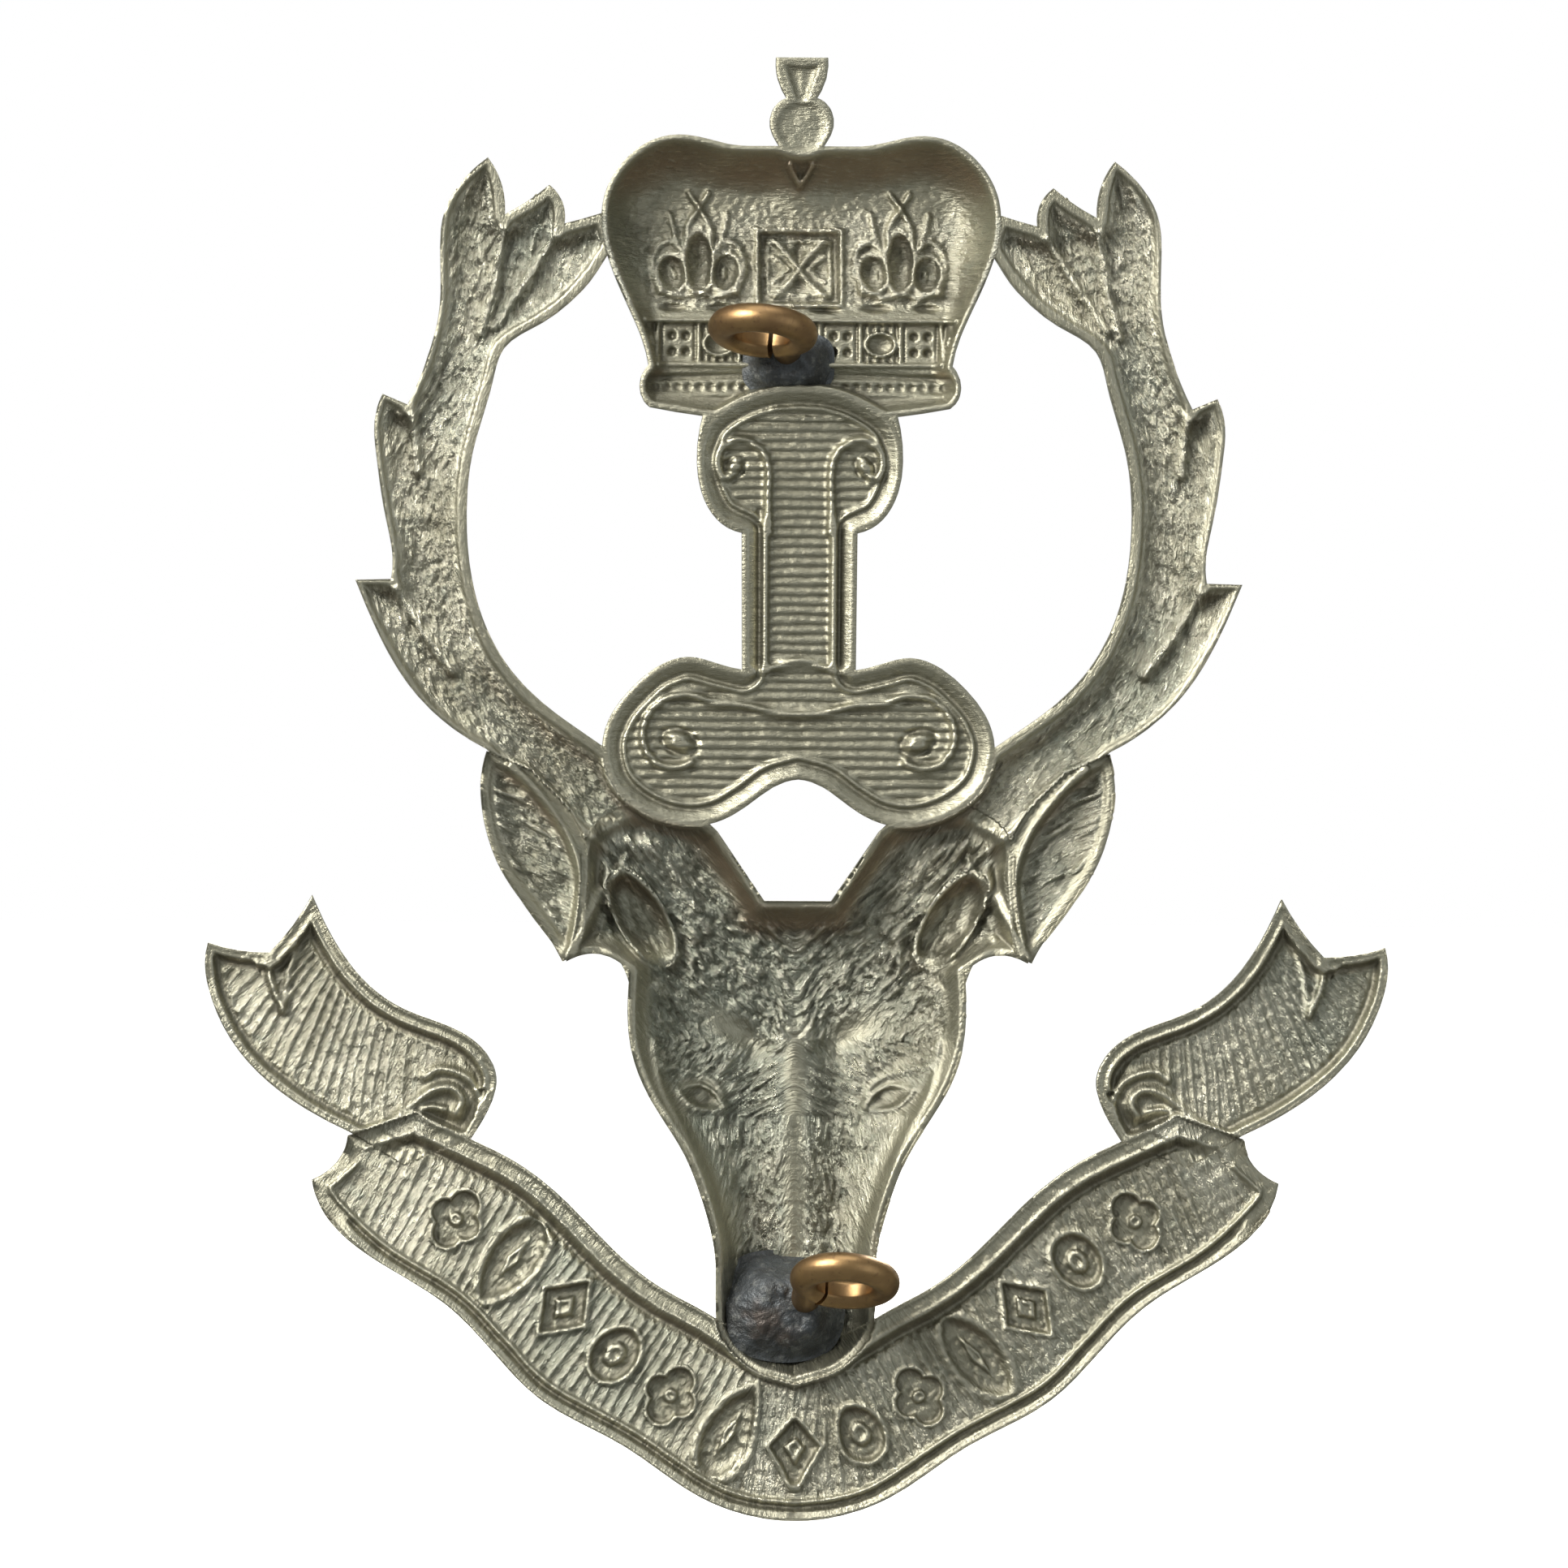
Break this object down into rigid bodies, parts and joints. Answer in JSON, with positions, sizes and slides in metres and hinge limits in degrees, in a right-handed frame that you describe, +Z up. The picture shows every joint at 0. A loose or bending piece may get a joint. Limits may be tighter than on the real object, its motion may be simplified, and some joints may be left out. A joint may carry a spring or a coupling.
{
  "type": "cap badge",
  "caption": "Die-struck white-metal cap badge: coronet over a scroll ornament, antlers, stag's head and swallow-tailed ribbon, with wire loops soldered on the back.",
  "frame": {"origin": "on the badge's centreline, in the plane of the rim at the back, half way between the top of the finial and the lowest point of the ribbon", "axes": "+Z up the badge as it is worn, +Y towards the face that shows, -Y towards the cap, +X to the right of someone looking at the back"},
  "size_m": [0.0616, 0.0104, 0.076],
  "materials": {
    "white_metal": "die-struck nickel silver, dulled, with grey-green and brown tarnish in the hollows",
    "loop_wire": "drawn copper-brown wire, handled",
    "solder": "dark, dull soft solder"
  },
  "bodies": {
    "root": {"badge_plate": "white_metal", "upper_loop": "loop_wire", "lower_loop": "loop_wire", "upper_solder": "solder", "lower_solder": "solder"}
  },
  "joints": []
}
